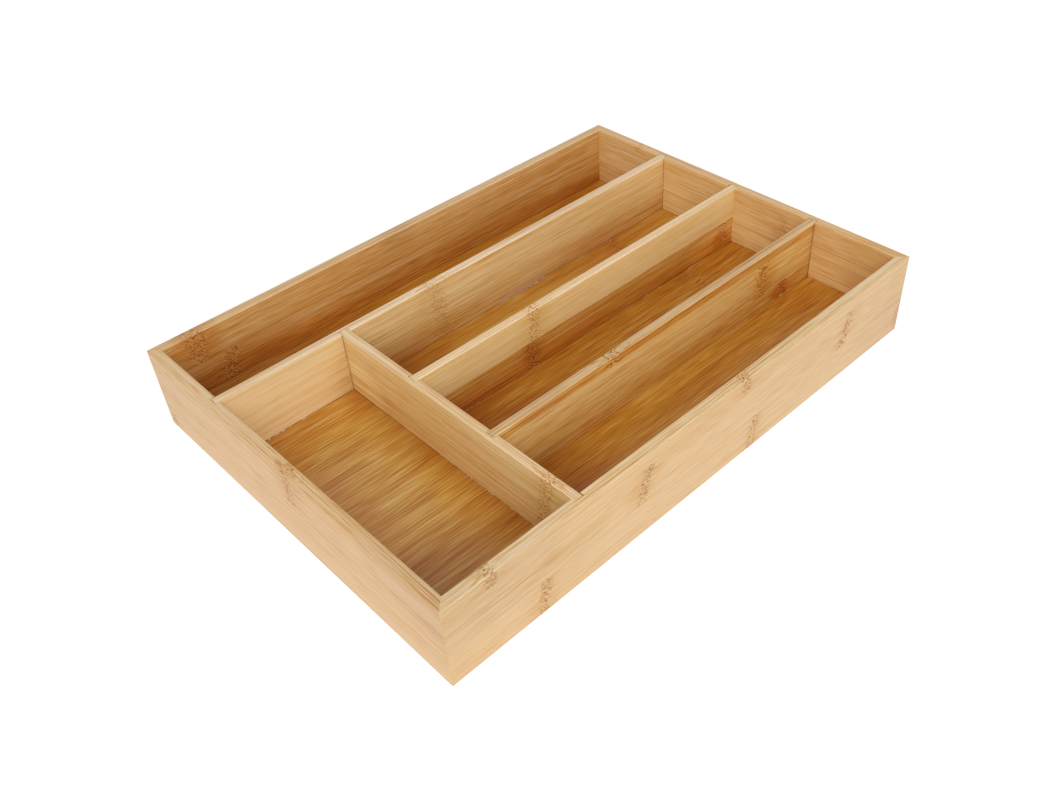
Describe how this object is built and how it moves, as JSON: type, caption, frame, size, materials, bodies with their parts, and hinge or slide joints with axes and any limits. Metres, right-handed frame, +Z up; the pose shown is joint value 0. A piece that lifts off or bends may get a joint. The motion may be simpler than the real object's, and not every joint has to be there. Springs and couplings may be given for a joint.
{
  "type": "cutlery tray",
  "caption": "Bamboo cutlery tray for a kitchen drawer: mitred walls, grooved-in base, a full-length compartment, a wide front pocket and narrow columns behind it.",
  "frame": {"origin": "middle of the footprint, on the surface that the tray stands on", "axes": "+Z up, +Y along the length towards the back of the drawer, +X to the right; the wide front pocket is at -Y and the full-length compartment at -X"},
  "size_m": [0.254, 0.355, 0.053],
  "materials": {
    "front_wall": "satin bamboo",
    "back_wall": "satin bamboo",
    "left_wall": "satin bamboo",
    "right_wall": "satin bamboo",
    "base_panel": "satin bamboo",
    "long_divider": "satin bamboo",
    "cross_divider": "satin bamboo",
    "middle_divider": "satin bamboo",
    "right_divider": "satin bamboo"
  },
  "bodies": {
    "root": {"front_wall": "front_wall", "back_wall": "back_wall", "left_wall": "left_wall", "right_wall": "right_wall", "base_panel": "base_panel", "long_divider": "long_divider", "cross_divider": "cross_divider", "middle_divider": "middle_divider", "right_divider": "right_divider"}
  },
  "joints": []
}
